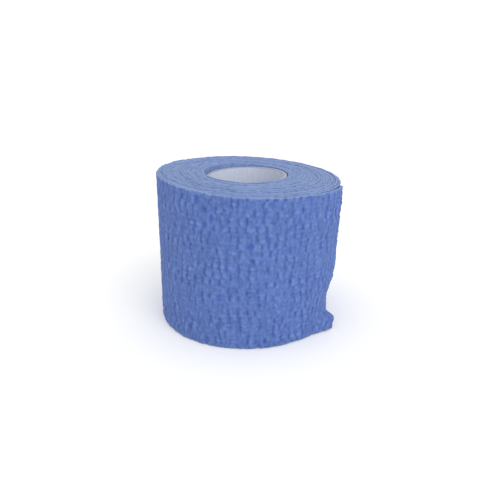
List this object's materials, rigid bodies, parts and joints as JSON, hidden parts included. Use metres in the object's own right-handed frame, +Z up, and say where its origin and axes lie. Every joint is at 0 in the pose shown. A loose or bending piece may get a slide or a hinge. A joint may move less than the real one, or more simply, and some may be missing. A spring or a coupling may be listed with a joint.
{
  "type": "cohesive bandage roll",
  "caption": "Roll of blue crinkled self-adhering elastic bandage wound on a white card core, standing on end, with a loose end.",
  "frame": {"origin": "on the core's axis, halfway up the roll, which is the whole roll's centroid within 0.5 mm; the roll stands on z = -0.025", "axes": "+Z up along the core's axis; -Y is the front; +X is the right, and the loose end stops between the two"},
  "size_m": [0.0635, 0.0626, 0.0519],
  "materials": {
    "cohesive_cloth": "matte crinkled nonwoven with elastic threads",
    "white_card": "matte"
  },
  "bodies": {
    "root": {"bandage_roll": "cohesive_cloth", "loose_end": "cohesive_cloth", "core": "white_card"}
  },
  "joints": []
}
